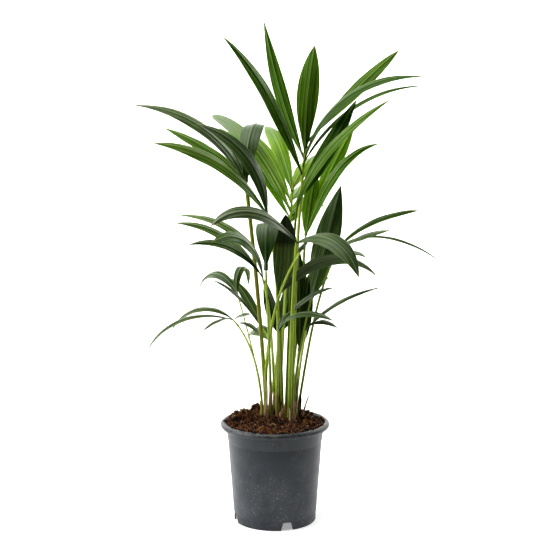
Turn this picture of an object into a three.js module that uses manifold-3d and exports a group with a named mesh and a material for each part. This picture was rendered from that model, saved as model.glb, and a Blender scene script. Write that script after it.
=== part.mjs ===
// A young kentia palm in its nursery pot: five seedlings in one clump of compost, each a short
// sheathed stem that carries four fronds. Millimetres, +Z up, the origin at the middle of the
// pot's flat underside. Compass bearings run from +X (0) through +Y (90), the back of the plant.
import * as THREE from "three";
import { mergeVertices } from "three/addons/utils/BufferGeometryUtils.js";
import Module from "manifold-3d";

const wasm = await Module();
wasm.setup();

// ---- Driving dimensions --------------------------------------------------------------------
const GAP = 0.3; // clearance between neighbouring solids

const pot = {
  rim: 85, // radius over the rolled rim
  high: 157,
  rimDeep: 9.5, // height of the roll
  neck: 76, // wall radius under the roll
  bandEnd: 73.8, // wall radius at the foot of the neck band
  bandLow: 121, // height of that foot
  step: 0.7, // how far the band stands proud of the wall
  foot: 64.8, // wall radius at the ground
  ring: 14, // height of the slightly smaller foot ring
  ringIn: 0.8,
  wall: 1.8,
  floor: 12, // the floor's underside, above the ground
  pad: 24, // radius of the middle pad, which stands on the ground
  padFlare: 2, // how much wider the pad is where it leaves the floor
  sides: 40,
};
const notch = { count: 4, first: 17, wide: 20, top: 13, high: 12.4, deep: 12 };

// The compost heaps from the pot's wall up to a level middle, where the stems stand.
const soil = { edge: 151, middle: 156, level: 52, slack: 0.5, sides: 32 };

// A stem swells a little over its foot. Its fronds' seats lie on a ring round its top.
const stem = { foot: 8.6, swell: 8.9, swellAt: 9, top: 7.9, high: 30, sides: 12, seat: 4.6 };
const stems = [
  [-18, 28],
  [-4, 40],
  [7, 18],
  [22, 4],
  [34, 20],
];

const stalkSides = 6;
const stalkSteps = 9;
const stalkTaper = 0.8; // a stalk's thickness at the rib, as a share of that at its foot
const ribTaper = 0.6;
const ribSteps = 3;
const ribLead = 8; // how far the rib starts before its first leaflet
const rootSunk = 2; // how far a leaflet's root is sunk down the rib
const leafSteps = 7;
const leafBelly = 0.48; // where a leaflet is widest, as a share of its length
const leafPoint = 1.05; // how finely it draws out to its tip: under 1 is blunt
const leafRoot = 0.2; // how wide its root is, as a share of its width
const leafThick = 1 / 85; // of a leaflet's length
const leafLeast = 1.2; // no leaflet is thinner at its ridge
const leafFold = 0.14; // height of the ridge along a leaflet, as a share of its width
const FINE = 56; // steps along every arc

const paint = {
  pot: { color: "#4b5258", roughness: 0.55, metalness: 0 },
  compost: { color: "#3a2a1c", roughness: 1, metalness: 0 },
  stem: { color: "#5d7026", roughness: 0.6, metalness: 0 },
  stalk: { color: "#7b9a35", roughness: 0.5, metalness: 0 },
  leaf: { color: "#3f5c26", roughness: 0.45, metalness: 0 },
};

// ---- The plant -----------------------------------------------------------------------------
// Each frond has its stem, its seat round that stem's top, its thickness at the foot, and one arc
// for stalk and rib together. An arc is [bearing, rise at its foot, rise at its tip, lateness of
// the bend, length]. A leaflet is [distance back from the rib's end, its own five arc numbers,
// width, lean], where lean is how far its upper face turns towards the front. Two more numbers
// are its own belly and point, where they are not the usual ones.
const fronds = {
  tall: {
    stem: 4, seat: 10, thick: 6.2, arc: [40, 88, 80, 3, 405],
    leaflets: [
      [49, 205, 66, 40, 2, 250, 28, 60],
      [40, 339, 82, -7, 0.9, 265, 24, 40, 0.45, 1.3],
      [32, 3, 62, -2, 1.1, 238, 20, 12],
      [24, 145, 59, 77, 0.6, 230, 21, 65, 0.45, 1.3],
      [16, 78, 84, 15, 1.3, 170, 26, 0],
      [8, 65, 96, 65, 0.7, 162, 34, 20, 0.52, 0.8],
      [0, 15, 47, 40, 1, 207, 24, 40, 0.6, 1],
    ],
  },
  inner_right: {
    stem: 4, seat: 190, thick: 5, arc: [312, 87, 81, 3, 320],
    leaflets: [
      [24, 340, 90, 30, 0.5, 240, 25, 46],
      [0, 18, 56, 59, 0.5, 180, 26, 70],
    ],
  },
  back_right: {
    stem: 4, seat: 100, thick: 5, arc: [66, 66, 80, 0.5, 265],
    leaflets: [
      [0, 42, 78, 78, 1, 110, 26, 40],
      [0, 33, 74, 55, 0.5, 194, 24, 45, 0.6, 0.8],
      [0, 349, 68, 8, 2.5, 197, 22, 45],
    ],
  },
  back_bright: {
    stem: 3, seat: 80, thick: 5.5, arc: [72, 84, 75, 0.6, 350],
    leaflets: [
      [68, 71, 10, 48, 0.5, 75, 20, 0],
      [63, 179, 60, 24, 3, 190, 18, 50],
      [60, 48, 38, -30, 1, 120, 24, 10],
      [51, 160, 61, 18, 2.3, 208, 27, 45, 0.65, 0.5],
      [38, 142, 60, 6, 3, 155, 22, 28, 0.6, 0.7],
      [33, 78, 14, 15, 1, 75, 20, 0],
      [19, 112, 52, 7, 2.9, 158, 29, 5, 0.6, 0.7],
      [14, 67, 39, 13, 1.1, 110, 26, 0],
    ],
  },
  high_left: {
    stem: 1, seat: 45, thick: 7, arc: [202, 87, 83, 0.7, 345],
    leaflets: [
      [2, 196, 67, 1, 1, 228, 26, 44, 0.42, 1.3],
      [2, 163, 54, 21, 0.5, 163, 26, 28],
      [0, 140, 71, 5, 1.1, 145, 14, 20, 0.48, 1.3],
      [0, 77, 86, -30, 1.5, 148, 34, 0, 0.6, 0.6],
    ],
  },
  middle_left: {
    stem: 3, seat: 170, thick: 5, arc: [244, 94, 63, 1.9, 305],
    leaflets: [
      [6, 204, 59, 5, 1, 224, 33, 38],
      [3, 178, 84, 14, 1.2, 185, 29, 42],
    ],
  },
  curled: {
    stem: 2, seat: 240, thick: 4.4, arc: [265, 70, 66, 3, 232],
    leaflets: [[0, 80, 87, -100, 4, 94, 35, 0, 0.7, 0.6]],
  },
  dark_upright: {
    stem: 3, seat: 350, thick: 5, arc: [258, 82, 79, 1.5, 175],
    leaflets: [
      [46, 330, 46, 8, 2, 118, 14, 38],
      [0, 298, 56, 92, 0.5, 130, 36, -25, 0.55, 0.8],
    ],
  },
  front: {
    stem: 4, seat: 280, thick: 6.6, arc: [277, 90, 66, 0.5, 275],
    leaflets: [
      [4, 316, 30, -70, 1.1, 145, 30, 30],
      [0, 208, 44, -45, 1.7, 160, 27, 40],
    ],
  },
  curved_front: {
    stem: 1, seat: 315, thick: 5.6, arc: [295, 93, 36, 0.9, 295],
    leaflets: [
      [103, 333, 46, -45, 1.7, 180, 26, -45, 0.6, 0.6],
      [9, 286, 40, 23, 1.1, 40, 14, 20],
    ],
  },
  lower_left: {
    stem: 2, seat: 320, thick: 4.6, arc: [248, 83, 53, 3, 210],
    leaflets: [
      [0, 160, 104, -4, 0.5, 190, 21, 16],
      [1, 192, 59, 0, 1.2, 170, 21, 32],
      [1, 231, 75, -22, 1.1, 150, 24, 56],
      [0, 208, 55, -13, 1.2, 145, 18, 38],
    ],
  },
  hook_left: {
    stem: 1, seat: 135, thick: 3, arc: [143, 82, 69, 0.5, 170],
    leaflets: [
      [0, 69, 118, -118, 1.1, 105, 15, 10],
      [0, 139, 53, -101, 1.4, 120, 17, 35],
    ],
  },
  small_left: {
    stem: 2, seat: 120, thick: 4, arc: [142, 102, 31, 1.7, 130],
    leaflets: [
      [38, 123, 62, -56, 0.7, 80, 24, 40],
      [14, 138, 55, 20, 2.6, 105, 16, 40],
      [0, 204, 57, 20, 1.6, 110, 13, 32],
    ],
  },
  low_left: {
    stem: 1, seat: 225, thick: 4, arc: [235, 81, 39, 1.2, 160],
    leaflets: [
      [11, 305, 26, -31, 0.8, 65, 11, 10],
      [0, 169, 42, -71, 1, 122, 15, 20],
      [0, 198, 19, -67, 1.3, 160, 15, 10],
      [0, 234, 30, -26, 0.6, 80, 12, 0],
      [0, 301, 37, 2, 0.8, 56, 12, 35],
    ],
  },
  dark_broad: {
    stem: 5, seat: 180, thick: 5.2, arc: [1, 89, 76, 0.5, 170],
    leaflets: [
      [90, 52, 80, 73, 3, 125, 27, 40],
      [12, 72, 55, -30, 1, 125, 24, 0],
      [0, 40, 70, 71, 0.9, 180, 40, 45],
    ],
  },
  far_right: {
    stem: 5, seat: 0, thick: 4.6, arc: [350, 81, 64, 2.5, 250],
    leaflets: [
      [26, 302, 33, -20, 1.5, 100, 13, 28],
      [6, 9, 68, 5, 0.5, 149, 14, 25, 0.6, 0.6],
      [0, 318, 33, 12, 0.6, 110, 17, 32],
      [0, 349, 58, -41, 0.5, 185, 13, 13],
    ],
  },
  spear: {
    stem: 5, seat: 90, thick: 4.6, arc: [45, 96, 77, 0.5, 140],
    leaflets: [[2, 88, 69, 115, 1.7, 95, 10, 0]],
  },
  small_front: {
    stem: 3, seat: 270, thick: 4.4, arc: [269, 58, 72, 1, 135],
    leaflets: [
      [0, 329, 90, -22, 0.5, 110, 20, 20],
      [0, 58, 85, 16, 0.5, 44, 13, 0],
    ],
  },
  small_right: {
    stem: 5, seat: 270, thick: 4.4, arc: [291, 85, 66, 0.5, 125],
    leaflets: [
      [0, 15, 58, 8, 0.6, 147, 12, 15],
      [0, 326, 88, -28, 0.5, 66, 14, 20],
    ],
  },
  dark_low: {
    stem: 2, seat: 35, thick: 5, arc: [64, 88, 78, 0.5, 100],
    leaflets: [
      [0, 148, 68, 81, 1.4, 92, 27, 10],
      [0, 78, 40, -50, 1, 120, 26, 0],
      [0, 34, 62, 90, 0.9, 100, 30, 30],
    ],
  },
};

// ---- Solids --------------------------------------------------------------------------------
const V = (x, y, z) => new THREE.Vector3(x, y, z);
const rad = THREE.MathUtils.degToRad;
const around = (middle, r, degrees) =>
  V(middle.x + r * Math.cos(rad(degrees)), middle.y + r * Math.sin(rad(degrees)), middle.z);

function toSolid(geometry) {
  const bare = geometry.index ? geometry.toNonIndexed() : geometry.clone();
  bare.deleteAttribute("normal");
  bare.deleteAttribute("uv");
  const merged = mergeVertices(bare, 1e-4);
  return new wasm.Manifold(
    new wasm.Mesh({
      numProp: 3,
      vertProperties: new Float32Array(merged.attributes.position.array),
      triVerts: new Uint32Array(merged.index.array),
    }),
  );
}

function toGeometry(solid) {
  const { vertProperties, triVerts } = solid.getMesh();
  const geometry = new THREE.BufferGeometry();
  geometry.setAttribute("position", new THREE.BufferAttribute(vertProperties, 3));
  geometry.setIndex(new THREE.BufferAttribute(triVerts, 1));
  geometry.computeVertexNormals();
  return geometry;
}

// A closed body through rings of equally many points. A last ring of one point is an apex.
function loft(rings) {
  const points = rings.flat();
  const sides = rings[0].length;
  const faces = [];
  const at = (ring, k) => ring * sides + (k % sides);
  for (let k = 1; k < sides - 1; k++) faces.push([0, k + 1, k]);
  rings.slice(0, -1).forEach((_, i) => {
    const apex = rings[i + 1].length === 1;
    for (let k = 0; k < sides; k++) {
      if (apex) {
        faces.push([at(i, k), at(i, k + 1), (i + 1) * sides]);
      } else {
        faces.push([at(i, k), at(i, k + 1), at(i + 1, k + 1)]);
        faces.push([at(i, k), at(i + 1, k + 1), at(i + 1, k)]);
      }
    }
  });
  const last = (rings.length - 1) * sides;
  if (rings.at(-1).length > 1)
    for (let k = 1; k < sides - 1; k++) faces.push([last, last + k, last + k + 1]);
  const geometry = new THREE.BufferGeometry().setFromPoints(points);
  geometry.setIndex(faces.flat());
  return geometry;
}

// The points and directions of an arc that lies in one upright plane.
function arcFrom(start, [bearing, rise, tip, late, long]) {
  const points = [start.clone()];
  const ways = [];
  for (let i = 0; i < FINE; i++) {
    const climb = rad(rise + (tip - rise) * ((i + 0.5) / FINE) ** late);
    const way = V(
      Math.cos(climb) * Math.cos(rad(bearing)),
      Math.cos(climb) * Math.sin(rad(bearing)),
      Math.sin(climb),
    );
    ways.push(way);
    points.push(points.at(-1).clone().addScaledVector(way, long / FINE));
  }
  return { points, ways, long, across: V(-Math.sin(rad(bearing)), Math.cos(rad(bearing)), 0) };
}

function along(arc, distance) {
  const step = THREE.MathUtils.clamp((distance / arc.long) * FINE, 0, FINE - 1e-6);
  const i = Math.floor(step);
  return {
    point: arc.points[i].clone().lerp(arc.points[i + 1], step - i),
    way: arc.ways[i],
    across: arc.across,
    face: arc.ways[i].clone().cross(arc.across),
  };
}

// A round, tapering limb along part of an arc. One that stands on a stem has a level foot.
function limb(arc, from, to, thickFrom, thickTo, steps) {
  const rings = [];
  for (let i = 0; i <= steps; i++) {
    const { point, across, face } = along(arc, THREE.MathUtils.lerp(from, to, i / steps));
    const r = THREE.MathUtils.lerp(thickFrom, thickTo, i / steps) / 2;
    if (i === 0 && from === 0) face.setZ(0);
    rings.push(
      Array.from({ length: stalkSides }, (_, k) => {
        const turn = (k / stalkSides) * 2 * Math.PI;
        return point
          .clone()
          .addScaledVector(across, r * Math.cos(turn))
          .addScaledVector(face, r * Math.sin(turn));
      }),
    );
  }
  return loft(rings);
}

// How wide a leaflet is along its length, from its narrow root over its belly to its point.
function leafShape(s, belly, point) {
  const swell = (point * belly) / (1 - belly);
  const peak = belly ** swell * (1 - belly) ** point;
  return Math.max((s ** swell * (1 - s) ** point) / peak, leafRoot * (1 - s));
}

function leaflet(root, row) {
  const [, bearing, rise, tip, late, long, wide, lean, belly = leafBelly, draw = leafPoint] = row;
  const arc = arcFrom(root, [bearing, rise, tip, late, long]);
  const turn = rad(lean) * (Math.cos(rad(bearing)) >= 0 ? 1 : -1);
  const thick = long * leafThick;
  const rings = [];
  for (let i = 0; i < leafSteps; i++) {
    const s = i / leafSteps;
    const { point, way, across, face } = along(arc, s * long);
    const side = across.clone().applyAxisAngle(way, turn);
    const up = face.clone().applyAxisAngle(way, turn);
    const share = leafShape(s, belly, draw);
    const half = (wide / 2) * share;
    const ridge = 2 * half * leafFold;
    const low = ridge - Math.max(thick * share, leafLeast);
    rings.push([
      point.clone().addScaledVector(side, half),
      point.clone().addScaledVector(up, ridge),
      point.clone().addScaledVector(side, -half),
      point.clone().addScaledVector(up, low),
    ]);
  }
  rings.push([arc.points.at(-1)]);
  return loft(rings);
}

function mesh(name, geometry, { color, roughness, metalness }) {
  const made = new THREE.Mesh(
    geometry,
    new THREE.MeshStandardMaterial({ color, roughness, metalness }),
  );
  made.name = name;
  return made;
}

// A closed turned body from [radius, height] pairs that start and end on the axis.
function turned(profile, sides) {
  const points = profile.map(([r, z]) => new THREE.Vector2(r, z));
  return new THREE.LatheGeometry(points, sides).rotateX(Math.PI / 2);
}

// ---- Pot and compost -----------------------------------------------------------------------
function potProfile() {
  const roll = pot.rimDeep / 2;
  const rollMiddle = pot.rim - roll;
  const lip = [-60, 0, 45, 90, 135].map((degrees) => [
    rollMiddle + roll * Math.cos(rad(degrees)),
    pot.high - roll + roll * Math.sin(rad(degrees)),
  ]);
  const inner = (r) => r - pot.wall;
  return [
    [0, 0],
    [pot.pad, 0],
    [pot.pad + pot.padFlare, pot.floor],
    [inner(pot.foot), pot.floor],
    [inner(pot.foot - pot.ringIn), 0],
    [pot.foot - pot.ringIn, 0],
    [pot.foot, pot.ring],
    [pot.bandEnd - pot.step, pot.bandLow],
    [pot.bandEnd, pot.bandLow],
    [pot.neck, pot.high - pot.rimDeep],
    ...lip,
    [inner(pot.neck), pot.high - pot.rimDeep],
    [inner(pot.bandEnd), pot.bandLow - pot.wall],
    [inner(pot.foot), pot.floor + pot.wall],
    [0, pot.floor + pot.wall],
  ];
}

function notchCut(bearing) {
  const outline = new THREE.Shape([
    new THREE.Vector2(-notch.wide / 2, -1),
    new THREE.Vector2(notch.wide / 2, -1),
    new THREE.Vector2(notch.top / 2, notch.high),
    new THREE.Vector2(-notch.top / 2, notch.high),
  ]);
  const cut = new THREE.ExtrudeGeometry(outline, { depth: notch.deep, bevelEnabled: false });
  cut.rotateX(Math.PI / 2).translate(0, pot.foot + notch.deep / 3, 0);
  return toSolid(cut.rotateZ(rad(bearing - 90)));
}

function makePot() {
  let solid = toSolid(turned(potProfile(), pot.sides));
  for (let i = 0; i < notch.count; i++)
    solid = solid.subtract(notchCut(notch.first + (i * 360) / notch.count));
  return mesh("pot", toGeometry(solid), paint.pot);
}

// The compost fills the pot, just clear of its floor and wall.
function makeCompost() {
  const inner = (r) => r - pot.wall - GAP - soil.slack;
  const floor = pot.floor + pot.wall + GAP;
  const profile = [
    [0, floor],
    [inner(pot.foot), floor],
    [inner(pot.bandEnd), pot.bandLow],
    [inner(pot.neck), pot.high - pot.rimDeep],
    [inner(pot.neck), soil.edge],
    [soil.level, soil.middle],
    [0, soil.middle],
  ];
  return mesh("compost", turned(profile, soil.sides), paint.compost);
}

// ---- Stems, stalks and fronds --------------------------------------------------------------
const stemTop = ([x, y]) => V(x, y, soil.middle + GAP + stem.high);

function makeStem([x, y], index) {
  const ring = (r, z) =>
    Array.from({ length: stem.sides }, (_, k) => around(V(x, y, z), r, (k / stem.sides) * 360));
  const foot = soil.middle + GAP;
  const geometry = loft([
    ring(stem.foot, foot),
    ring(stem.swell, foot + stem.swellAt),
    ring(stem.top, foot + stem.high),
  ]);
  return mesh(`stem_${index + 1}`, geometry, paint.stem);
}

function makeFrond(name, frond) {
  const seat = around(stemTop(stems[frond.stem - 1]), stem.seat, frond.seat);
  const arc = arcFrom(seat.setZ(seat.z + GAP), frond.arc);
  const bare = arc.long - ribLead - Math.max(...frond.leaflets.map(([back]) => back));
  const neck = frond.thick * stalkTaper;
  const stalk = limb(arc, 0, bare, frond.thick, neck, stalkSteps);
  let blade = toSolid(limb(arc, bare + GAP, arc.long, neck, neck * ribTaper, ribSteps));
  for (const row of frond.leaflets) {
    const root = along(arc, arc.long - row[0] - rootSunk).point;
    blade = blade.add(toSolid(leaflet(root, row)));
  }
  return [
    mesh(`stalk_${name}`, stalk, paint.stalk),
    mesh(`frond_${name}`, toGeometry(blade), paint.leaf),
  ];
}

const group = new THREE.Group();
group.add(makePot(), makeCompost(), ...stems.map(makeStem));
for (const [name, frond] of Object.entries(fronds)) group.add(...makeFrond(name, frond));

export default group;
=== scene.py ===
# %% [markdown]
# # A young kentia palm in its nursery pot
# The real object is five palm seedlings that a grower raised in one plastic pot. Each seedling
# has a short stem wrapped in leaf sheaths, a few slim stalks, and on each stalk a feather of long
# pleated leaflets. The solids that load first carry the true places and sizes. Each of them is
# then replaced by a finer mesh that grows by the same rule, so nothing has to be fitted by eye.

# %% Load the solids
import math
import random

import bmesh
import bpy
import numpy as np
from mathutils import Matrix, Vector, noise


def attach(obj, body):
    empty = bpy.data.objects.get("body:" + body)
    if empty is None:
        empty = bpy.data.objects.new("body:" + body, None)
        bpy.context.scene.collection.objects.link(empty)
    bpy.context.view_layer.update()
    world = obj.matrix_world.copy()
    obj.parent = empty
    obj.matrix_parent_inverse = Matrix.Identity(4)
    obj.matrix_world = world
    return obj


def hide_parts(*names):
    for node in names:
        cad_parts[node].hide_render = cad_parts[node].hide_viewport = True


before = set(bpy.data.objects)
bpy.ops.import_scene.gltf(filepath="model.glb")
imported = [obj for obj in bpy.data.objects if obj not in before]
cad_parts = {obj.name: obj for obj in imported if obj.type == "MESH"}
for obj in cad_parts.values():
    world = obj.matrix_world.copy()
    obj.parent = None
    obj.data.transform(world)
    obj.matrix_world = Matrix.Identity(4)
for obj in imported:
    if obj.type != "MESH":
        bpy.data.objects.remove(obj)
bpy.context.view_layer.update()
MM = 0.001  # the solids are in metres, and a plant is easier to describe in millimetres

# %% [markdown]
# ## The camera
# The plant is seen from about the height of its upper leaves. A short telephoto lens keeps the
# nearest leaves from swelling, and the camera stands at a real distance, looking slightly down.

# %% Place the camera
camera_place = (2.35, -1920, 669)  # mm
camera_down = 8.43  # degrees below the horizon
lens, sensor = 82.3, 36  # mm

camera_data = bpy.data.cameras.new("camera")
camera_data.lens = lens
camera_data.sensor_width = sensor
camera = bpy.data.objects.new("camera", camera_data)
camera.location = Vector(camera_place) * MM
camera.rotation_euler = (math.radians(90 - camera_down), 0, 0)
bpy.context.scene.collection.objects.link(camera)
bpy.context.scene.camera = camera
print("the camera looks down", camera_down, "degrees from", -camera_place[1], "mm in front")

# %% [markdown]
# ## Helpers for materials
# Colours are written as sRGB hex values, because that is how paint charts and screens give them.
# Blender's shaders want linear light, so one function turns the one into the other. Another adds
# any node, sets its values and links its inputs. An input takes a plain value, a socket, or a
# whole node, which then gives the first output that it uses. That keeps each material short.


# %% Colours and nodes
def linear(hex_colour):
    channels = [int(hex_colour[i : i + 2], 16) / 255 for i in (1, 3, 5)]
    return [c / 12.92 if c <= 0.04045 else ((c + 0.055) / 1.055) ** 2.4 for c in channels] + [1]


def give(material, socket, value):
    if isinstance(value, bpy.types.Node):
        value = next(output for output in value.outputs if output.enabled)
    if isinstance(value, bpy.types.NodeSocket):
        material.node_tree.links.new(value, socket)
    else:
        socket.default_value = value


def feed(material, shader, **sockets):
    for key, value in sockets.items():
        give(material, shader.inputs[key.replace("_", " ")], value)


def add_node(material, kind, settings=None, stops=(), **inputs):
    """Stops are a colour ramp's places, each with a hex colour or a grey level."""
    node = material.node_tree.nodes.new(kind)
    for key, value in (settings or {}).items():
        setattr(node, key, value)
    for _ in stops[2:]:
        node.color_ramp.elements.new(0.5)
    for number, (place, colour) in enumerate(stops):
        element = node.color_ramp.elements[number]
        element.position = place
        element.color = linear(colour) if isinstance(colour, str) else (colour, colour, colour, 1)
    for key, value in inputs.items():
        by_number = key[1:].isdigit()  # _0 is the node's first input
        give(material, node.inputs[int(key[1:]) if by_number else key.replace("_", " ")], value)
    return node


def new_material(name, **shader_values):
    material = bpy.data.materials.new(name)
    material.use_nodes = True
    shader = material.node_tree.nodes["Principled BSDF"]
    feed(material, shader, **shader_values)
    return material, shader


RAMP, MIX, MATH, SPLIT = (
    "ShaderNodeValToRGB", "ShaderNodeMix", "ShaderNodeMath", "ShaderNodeSeparateXYZ",
)
NOISE, MAPPING, BUMP = "ShaderNodeTexNoise", "ShaderNodeMapping", "ShaderNodeBump"
RGB, TINT = {"data_type": "RGBA"}, {"data_type": "RGBA", "blend_type": "MULTIPLY"}
TIMES, TIMES_PLUS = {"operation": "MULTIPLY"}, {"operation": "MULTIPLY_ADD"}
print("helpers ready; mid grey is", round(linear("#808080")[0], 3), "in linear light")

# %% [markdown]
# ## Floor and light
# The studio is a sheet of pale paper that sweeps up behind the plant, so there is no horizon.
# Two large soft panels stand left and right of the plant and one hangs overhead: their broad
# reflections are what makes waxy leaves look grey and silky where they turn to the light. Two
# more, behind the plant, light the paper.

# %% Sweep the paper
paper = {"front": -420, "bend": 2100, "radius": 900, "high": 3200, "half": 3000}  # mm
outline = [(paper["front"], 0)]
for degrees in range(0, 91, 6):
    angle = math.radians(degrees)
    rise = paper["radius"] * (1 - math.cos(angle))
    outline.append((paper["bend"] + paper["radius"] * math.sin(angle), rise))
outline.append((outline[-1][0], paper["high"]))

sweep_mesh = bpy.data.meshes.new("paper_sweep")
sweep_points = [(side * paper["half"] * MM, y * MM, z * MM) for y, z in outline for side in (-1, 1)]
sweep_faces = [(2 * i, 2 * i + 1, 2 * i + 3, 2 * i + 2) for i in range(len(outline) - 1)]
sweep_mesh.from_pydata(sweep_points, [], sweep_faces)
sweep_mesh.shade_smooth()
sweep = bpy.data.objects.new("paper_sweep", sweep_mesh)
bpy.context.scene.collection.objects.link(sweep)

# Background paper: uncoated, so it is rough and has almost no shine. It glows a little of its
# own, like paper that is lit from behind as well, which all but clears the shadow of the pot.
studio_paper, shader = new_material(
    "studio_paper",
    Base_Color=linear("#f6f6f4"),
    Roughness=0.9,
    Emission_Color=(1, 1, 1, 1),
    Emission_Strength=0.3,
)
grain = add_node(studio_paper, NOISE, Scale=900.0, Detail=2.0)  # about one grain a millimetre
bump = add_node(studio_paper, BUMP, Height=grain, Strength=0.02)
feed(studio_paper, shader, Normal=bump)
sweep_mesh.materials.append(studio_paper)
print("paper sweep with", len(sweep_faces), "strips")


# %% Hang the lights
def soft_panel(name, place, aim, size, watts):
    data = bpy.data.lights.new(name, "AREA")
    data.shape = "RECTANGLE"
    data.size, data.size_y = size[0] * MM, size[1] * MM
    data.energy = watts
    panel = bpy.data.objects.new(name, data)
    panel.location = Vector(place) * MM
    panel.rotation_euler = (Vector(aim) - Vector(place)).to_track_quat("-Z", "Y").to_euler()
    bpy.context.scene.collection.objects.link(panel)


plant_middle = (0, 0, 430)
soft_panel("left_panel", (-1700, -350, 1150), plant_middle, (1200, 1600), 28)
soft_panel("right_panel", (1750, 750, 950), plant_middle, (600, 1600), 5)
soft_panel("top_panel", (-450, -250, 2300), plant_middle, (2200, 1700), 42)
soft_panel("paper_panel_left", (-1900, 1100, 1700), (-500, 3000, 900), (900, 900), 75)
soft_panel("paper_panel_right", (1900, 1100, 1700), (500, 3000, 900), (900, 900), 75)

world = bpy.data.worlds.new("studio")
world.use_nodes = True
room = world.node_tree.nodes["Background"].inputs
room["Color"].default_value = (1, 1, 1, 1)
room["Strength"].default_value = 0.02  # a trace of light from all round
bpy.context.scene.world = world
bpy.context.scene.view_settings.view_transform = "Standard"
bpy.context.scene.view_settings.look = "Medium High Contrast"

# %% [markdown]
# ## The pot
# A grower's pot is injection-moulded polypropylene, often of recycled grey. The wall is under
# 2 mm thick, tapers so that pots stack, and carries a rolled rim, a stiffening band under it and
# a foot ring with drainage notches. It is a turned shape, so its outline is drawn once and a
# Screw modifier spins it. A Boolean modifier then cuts the notches, as the mould's slides do.

# %% Turn the pot
pot = {  # radii and heights in mm
    "rim": 85, "high": 157, "rim_deep": 9.5, "neck": 76, "band_end": 73.8, "band_low": 128,
    "step": 0.7, "foot": 64.8, "ring": 14, "ring_in": 0.8, "wall": 1.8, "floor": 12, "pad": 24,
}
line_high, line_deep = 74, 0.3  # a faint line where two slides of the mould met
roll = pot["rim_deep"] / 2
spin_steps = 144


def wall_radius(z):
    share = (z - pot["ring"]) / (pot["band_low"] - pot["ring"])
    return pot["foot"] + share * (pot["band_end"] - pot["step"] - pot["foot"])


def pot_outline():
    """Radius and height from the middle of the pad out, up and in. Bare numbers are roundings."""
    lip = []
    lip_r, lip_z = pot["rim"] - roll, pot["high"] - roll  # the middle of the rolled rim
    for degrees in range(-75, 166, 15):
        a = math.radians(degrees)
        lip.append((lip_r + roll * math.cos(a), lip_z + roll * math.sin(a)))
    neck_z = pot["high"] - pot["rim_deep"] + 0.8
    foot, wall = pot["foot"], pot["wall"]
    ring = foot - pot["ring_in"]
    return [
        (0, 0),
        (pot["pad"], 0),
        (pot["pad"] + 2, pot["floor"]),
        (foot - wall, pot["floor"]),
        (ring - wall, 0.3),
        (ring - wall + 0.4, 0),
        (ring - 0.5, 0),
        (ring, 0.6),
        (ring + 0.2, pot["ring"] - 1),
        (foot + 0.1, pot["ring"]),
        (wall_radius(line_high) - 0.02, line_high),
        (wall_radius(line_high) + line_deep, line_high + 0.6),
        (wall_radius(pot["band_low"]), pot["band_low"] - 0.5),
        (pot["band_end"], pot["band_low"] + 0.4),
        (pot["neck"], neck_z - 1.2),
        (pot["neck"] + 0.6, neck_z),
        *lip,
        (pot["neck"] - wall, pot["high"] - pot["rim_deep"]),
        (pot["band_end"] - wall, pot["band_low"] - wall),
        (foot - wall, pot["floor"] + wall),
        (0, pot["floor"] + wall),
    ]


def link_object(name, mesh):
    piece = bpy.data.objects.new(name, mesh)
    bpy.context.scene.collection.objects.link(piece)
    return piece


def apply_modifiers(piece):
    bpy.context.view_layer.update()
    evaluated = piece.evaluated_get(bpy.context.evaluated_depsgraph_get())
    mesh = bpy.data.meshes.new_from_object(evaluated)
    piece.modifiers.clear()
    piece.data = mesh


profile = pot_outline()
pot_mesh = bpy.data.meshes.new("nursery_pot")
profile_edges = [(i, i + 1) for i in range(len(profile) - 1)]
pot_mesh.from_pydata([(r * MM, 0, z * MM) for r, z in profile], profile_edges, [])
pot_piece = link_object("nursery_pot", pot_mesh)
screw = pot_piece.modifiers.new("spin", "SCREW")
screw.steps = screw.render_steps = spin_steps
screw.use_merge_vertices = True
screw.merge_threshold = 1e-6
screw.use_normal_calculate = True
apply_modifiers(pot_piece)
print("pot turned:", len(pot_piece.data.polygons), "faces")

# %% [markdown]
# The four drainage notches are wide at the ground and narrower above. One block shaped like a
# notch is copied round the foot, and all four are cut at once.

# %% Cut the notches
notch = {"count": 4, "first": 17, "wide": 20, "top": 13, "high": 12.4, "deep": 12}
crease = 32  # degrees: an edge of the pot that turns more than this looks sharp


def notch_block(bearing):
    half, top, high = notch["wide"] / 2, notch["top"] / 2, notch["high"]
    right_side = [(half, -1), (top, high - 1), (top - 1, high)]  # across and up, from the ground
    section = [(-half, -1), *right_side, (1 - top, high), (-top, high - 1)]
    turn = math.radians(bearing)
    points = []
    for r in (pot["foot"] - notch["deep"] * 2 / 3, pot["foot"] + notch["deep"] / 3):
        for across, z in section:
            x = r * math.cos(turn) - across * math.sin(turn)
            y = r * math.sin(turn) + across * math.cos(turn)
            points.append((x * MM, y * MM, z * MM))
    n = len(section)
    sides = [(i, (i + 1) % n, (i + 1) % n + n, i + n) for i in range(n)]
    return points, [tuple(range(n))[::-1], tuple(range(n, 2 * n)), *sides]


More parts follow.
